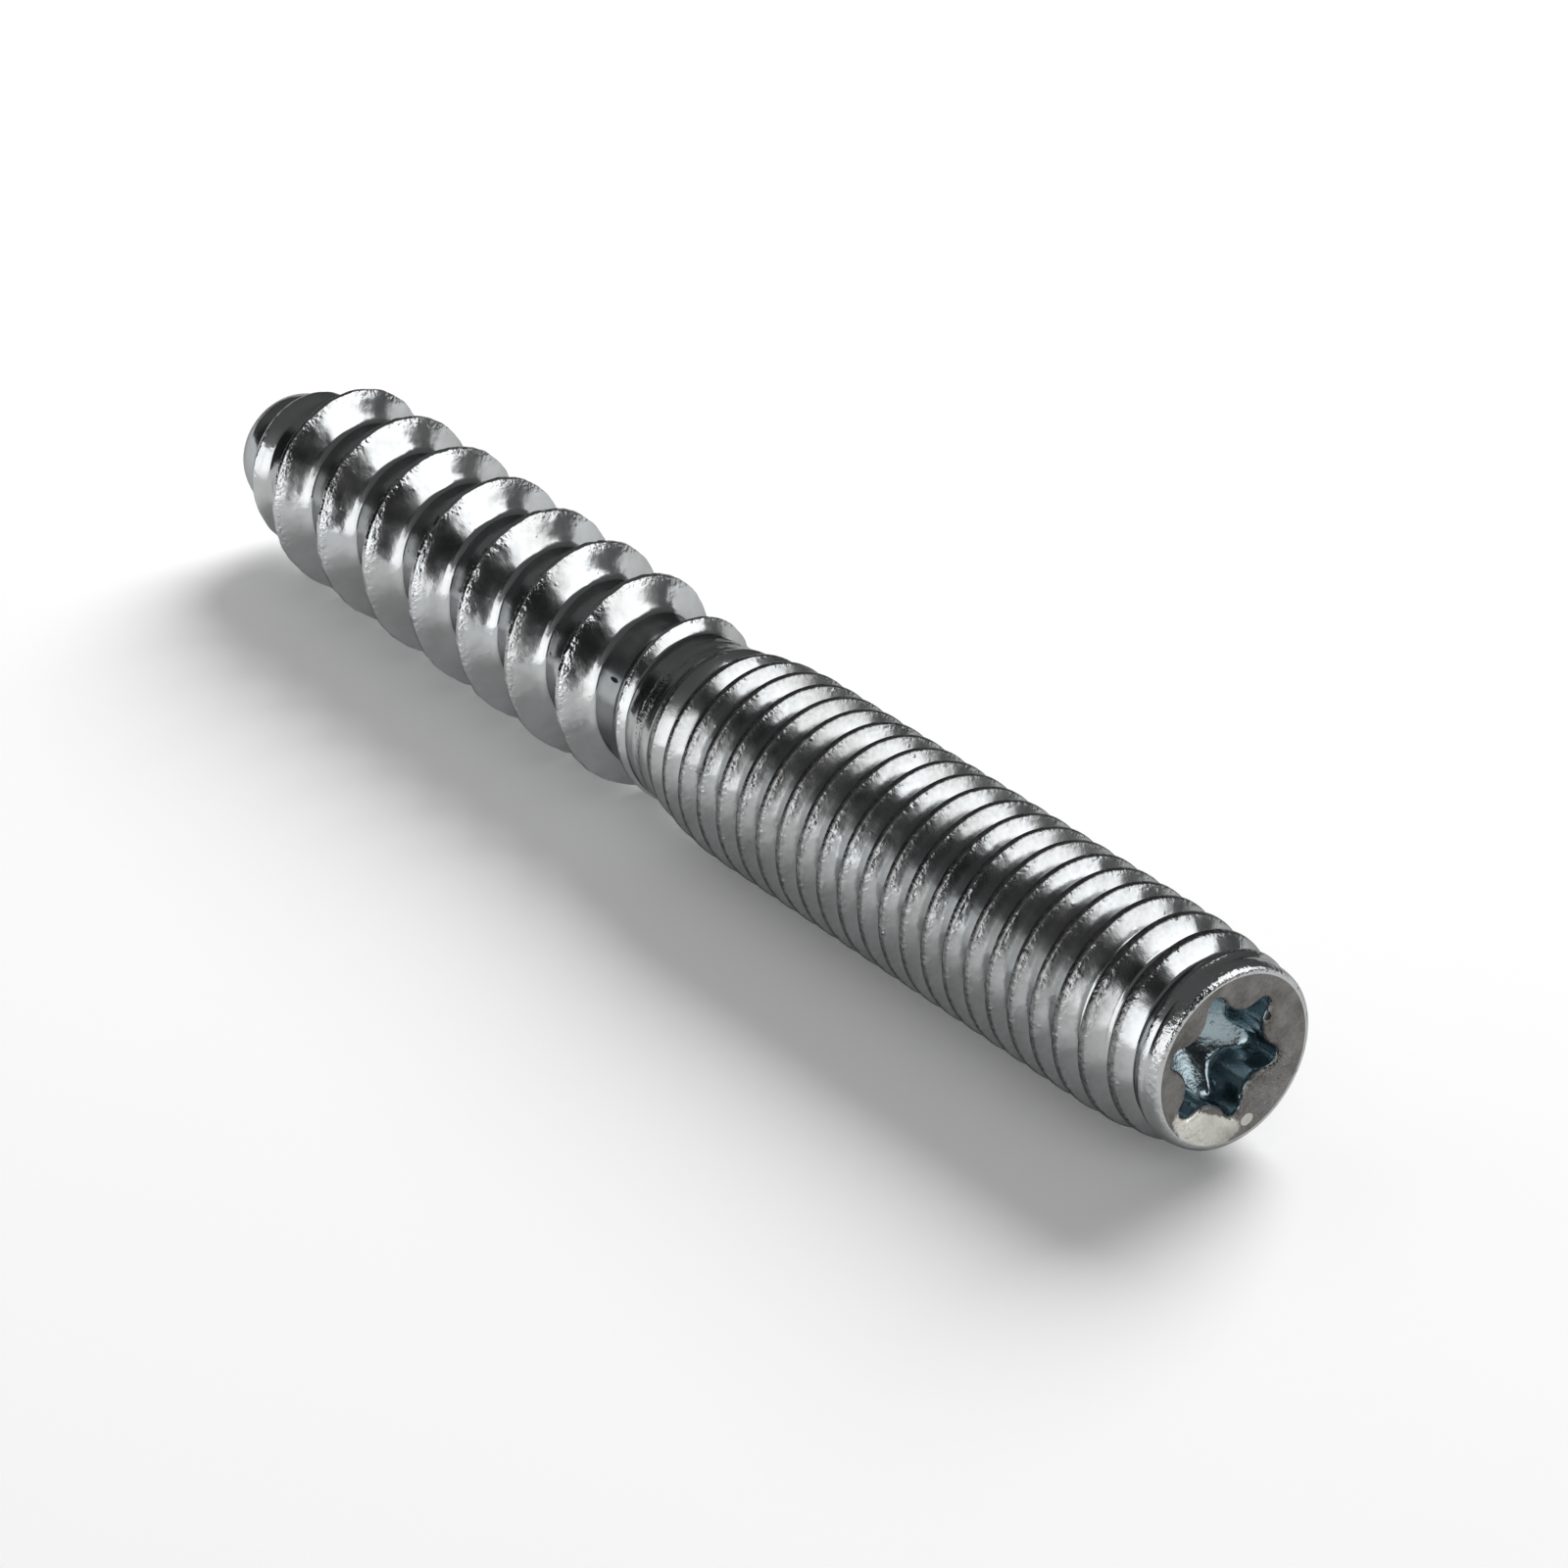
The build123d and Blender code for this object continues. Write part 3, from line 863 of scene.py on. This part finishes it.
class HANGERBOLT_OT_bolt(bpy.types.Operator):
    """Make the whole bolt as one closed skin."""

    bl_idname = "hanger_bolt.bolt"
    bl_label = "Bolt"

    def execute(self, context):
        sizes, finish_and_light = context.scene.bolt_sizes, context.scene.zinc_finish
        bolt = bpy.data.objects.new("zinc_bolt", line_mesh(bolt_lines(sizes)))
        context.scene.collection.objects.link(bolt)
        group = rolled_zinc()
        tree, values = skin_tree(
            sizes, Stations(sizes), zinc_material(finish_and_light, group), end_material(finish_and_light, group)
        )
        rolling = bolt.modifiers.new("Rolled bolt", "NODES")
        rolling.node_group = tree
        for identifier, value in values.items():
            rolling[identifier] = value
        skin = bolt.evaluated_get(context.evaluated_depsgraph_get())
        mesh = bpy.data.meshes.new_from_object(skin)
        if not mesh.polygons:
            raise RuntimeError("the bolt's skin came out empty")
        bolt.modifiers.remove(rolling)
        lines, bolt.data = bolt.data, mesh
        bpy.data.meshes.remove(lines)
        settle(mesh)
        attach(bolt, FRAME_BODY)
        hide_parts(FRAME_NODE)
        return {"FINISHED"}


def box_of(points):
    """Lowest and highest corner of some points."""
    return (Vector([min(p[i] for p in points) for i in range(3)]),
            Vector([max(p[i] for p in points) for i in range(3)]))


def settle(mesh):
    """Lays the bolt where the frame's own bolt lies, and as low."""
    low, high = box_of([v.co for v in mesh.vertices])
    frame_low, frame_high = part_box(FRAME_NODE)
    move = (frame_low + frame_high - low - high) / 2
    move.z = frame_low.z - low.z
    mesh.transform(Matrix.Translation(move))


def ray_share(tree, *kinds):
    """1 for the kinds of ray that see the white surroundings, and 0 for the others."""
    path = tree.nodes.new("ShaderNodeLightPath")
    total = Field(tree, path.outputs[kinds[0]])
    for kind in kinds[1:]:
        total = total.math("MAXIMUM", Field(tree, path.outputs[kind]))
    return total


def panel(name, width, height, place, aim, material):
    """A flat rectangle that faces a point, given half its width and half its height."""
    mesh = bpy.data.meshes.new(name)
    mesh.from_pydata([(-1, -1, 0), (1, -1, 0), (1, 1, 0), (-1, 1, 0)], [], [(0, 1, 2, 3)])
    mesh.materials.append(material)
    sheet = bpy.data.objects.new(name, mesh)
    place, aim = Vector(place), Vector(aim)
    turn = (aim - place).to_track_quat("Z", "Y") if aim != place else Matrix().to_quaternion()
    sheet.matrix_world = Matrix.LocRotScale(place, turn, (width, height, 1))
    bpy.context.scene.collection.objects.link(sheet)
    return sheet


def paper_material(stage):
    """White paper, lifted to white where the camera and the metal see it."""
    material = new_material("white_paper")
    shader = principled(material, base_color=stage.paper_colour, roughness=0.9,
                        specular_ior_level=0.1, emission_color=(1.0, 1.0, 1.0))
    glow = ray_share(material.node_tree, *WHITE_RAYS) * stage.paper_glow
    feed(material.node_tree, shader.inputs["Emission Strength"], glow)
    return material


def light_material(name, strength, edge):
    """A softbox's cloth, which fades towards its edges."""
    material = new_material(name)
    tree = material.node_tree
    shader = principled(material, base_color=(0.0, 0.0, 0.0), emission_color=(1.0, 1.0, 1.0),
                        specular_ior_level=0.0)
    place = tree.nodes.new("ShaderNodeTexCoord").outputs["Object"]
    parts = tree.nodes.new("ShaderNodeSeparateXYZ")
    tree.links.new(place, parts.inputs[0])
    across, up = (Field(tree, parts.outputs[i]).math("ABSOLUTE") for i in range(2))
    glow = blend(1 - across, edge) * blend(1 - up, edge) * strength
    feed(tree, shader.inputs["Emission Strength"], glow)
    return material


def towards(azimuth, elevation, distance):
    """A place seen from the bolt at an azimuth from +X towards +Y and an elevation, in degrees."""
    a, e = radians(azimuth), radians(elevation)
    return Vector((cos(a) * cos(e), sin(a) * cos(e), sin(e))) * distance


def facing(tree, azimuth, elevation, near, width):
    """1 where a unit dome faces a direction, falling to 0 at the cosine of an angle from it."""
    place = tree.nodes.new("ShaderNodeTexCoord").outputs["Object"]
    parts = tree.nodes.new("ShaderNodeSeparateXYZ")
    tree.links.new(place, parts.inputs[0])
    aim = towards(azimuth, elevation, 1.0)
    cosine = sum((Field(tree, parts.outputs[i]) * aim[i] for i in range(3)), 0.0)
    return blend(cosine - near, width)


def tent_material(stage):
    """Dim cloth with two dark patches and a pale one."""
    material = new_material("tent_cloth")
    tree = material.node_tree
    shader = principled(material, base_color=(0.0, 0.0, 0.0), emission_color=(1.0, 1.0, 1.0),
                        specular_ior_level=0.0)
    dark, other = (facing(tree, *patch_place) for patch_place in DARK_PATCHES)
    dark = dark.math("MAXIMUM", other)
    pale = facing(tree, *PALE_PATCH)
    glow = between(dark, between(pale, stage.tent_light, stage.tent_pale), stage.tent_dark)
    feed(tree, shader.inputs["Emission Strength"], glow)
    return material


def tent(radius, material):
    """A half dome over the table, which only reflections see."""
    mesh = bpy.data.meshes.new("tent")
    shape = bmesh.new()
    bmesh.ops.create_uvsphere(shape, u_segments=48, v_segments=24, radius=1.0)
    low = [v for v in shape.verts if v.co.z < -0.01]
    bmesh.ops.delete(shape, geom=low, context="VERTS")
    shape.to_mesh(mesh)
    shape.free()
    mesh.materials.append(material)
    dome = bpy.data.objects.new("tent", mesh)
    dome.matrix_world = Matrix.Scale(radius, 4)
    bpy.context.scene.collection.objects.link(dome)
    for ray in ("camera", "diffuse", "shadow"):
        setattr(dome, f"visible_{ray}", False)
    return dome


class HANGERBOLT_OT_stage(bpy.types.Operator):
    """Lay the white paper, set the soft lights in a dim tent and place the camera."""

    bl_idname = "hanger_bolt.stage"
    bl_label = "Stage"

    def execute(self, context):
        scene = context.scene
        stage = scene.table_stage
        middle = (0, 0, 0)
        half = PAPER_HALF_SIDE
        paper = panel("paper", half, half, middle, middle, paper_material(stage))
        bolt_only = bpy.data.collections.new("lit_by_the_softboxes")
        bolt_only.objects.link(bpy.data.objects["zinc_bolt"])
        for name, (width, height, place, strength, edge) in SOFTBOXES.items():
            cloth = light_material(name, getattr(stage, strength), edge)
            box = panel(name, width, height, towards(*place), middle, cloth)
            box.visible_camera = False
            box.light_linking.receiver_collection = bolt_only
        tent(TENT_RADIUS, tent_material(stage))
        self.paper_lamp(scene, stage, paper)
        self.room(scene, stage)
        self.camera(scene, stage)
        scene.view_settings.view_transform = "Standard"
        return {"FINISHED"}

    def paper_lamp(self, scene, stage, paper):
        """A soft lamp that lights the paper alone, and lets the bolt throw its shadow on it."""
        data = bpy.data.lights.new("paper_lamp", "AREA")
        data.shape = "DISK"
        data.size = LAMP_SIZE
        data.energy = stage.paper_light
        lamp = bpy.data.objects.new("paper_lamp", data)
        lamp.location = towards(*LAMP_PLACE)
        lamp.rotation_euler = (-lamp.location).to_track_quat("-Z", "Y").to_euler()
        scene.collection.objects.link(lamp)
        for ray in ("camera", "glossy", "transmission"):
            setattr(lamp, f"visible_{ray}", False)
        lit = bpy.data.collections.new("lit_by_the_paper_lamp")
        lit.objects.link(paper)
        lamp.light_linking.receiver_collection = lit

    def room(self, scene, stage):
        """A white room, which lights the paper less than it shows."""
        world = bpy.data.worlds.new("white_room")
        world.use_nodes = True
        tree = world.node_tree
        shader = tree.nodes["Background"]
        shader.inputs["Color"].default_value = (1, 1, 1, 1)
        white = ray_share(tree, *WHITE_RAYS)
        feed(tree, shader.inputs["Strength"], between(white, stage.room_fill, 1.0))
        scene.world = world

    def camera(self, scene, stage):
        """The camera, where the photograph was taken from."""
        data = bpy.data.cameras.new("camera")
        data.lens = stage.camera_lens
        data.sensor_width = 36.0
        camera = bpy.data.objects.new("camera", data)
        camera.location = CAMERA_PLACE
        camera.rotation_euler = Vector(CAMERA_AIM).to_track_quat("-Z", "Y").to_euler()
        scene.collection.objects.link(camera)
        scene.camera = camera


class HANGERBOLT_PT_panel(bpy.types.Panel):
    """The steps that build the bolt, and the sizes and colours they use."""

    bl_label = "Hanger bolt"
    bl_idname = "HANGERBOLT_PT_panel"
    bl_space_type = "VIEW_3D"
    bl_region_type = "UI"
    bl_category = "Hanger bolt"

    def draw(self, context):
        layout = self.layout
        for step in STEPS:
            layout.operator(step.bl_idname)
        for name, kind in GROUPS.items():
            column = layout.column(align=True)
            for field in kind.__annotations__:
                column.prop(getattr(context.scene, name), field)


GROUPS = {"bolt_sizes": BoltSizes, "zinc_finish": ZincFinishAndPaintedLight, "table_stage": TableStage}
STEPS = (HANGERBOLT_OT_bolt, HANGERBOLT_OT_stage)
CLASSES = (*GROUPS.values(), *STEPS, HANGERBOLT_PT_panel)


def register():
    for kind in CLASSES:
        bpy.utils.register_class(kind)
    for name, kind in GROUPS.items():
        setattr(bpy.types.Scene, name, bpy.props.PointerProperty(type=kind))


def unregister():
    for name in GROUPS:
        delattr(bpy.types.Scene, name)
    for kind in reversed(CLASSES):
        bpy.utils.unregister_class(kind)


def main():
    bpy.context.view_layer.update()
    register()
    for step in STEPS:
        group, name = step.bl_idname.split(".")
        getattr(getattr(bpy.ops, group), name)()


if __name__ == "__main__":
    main()
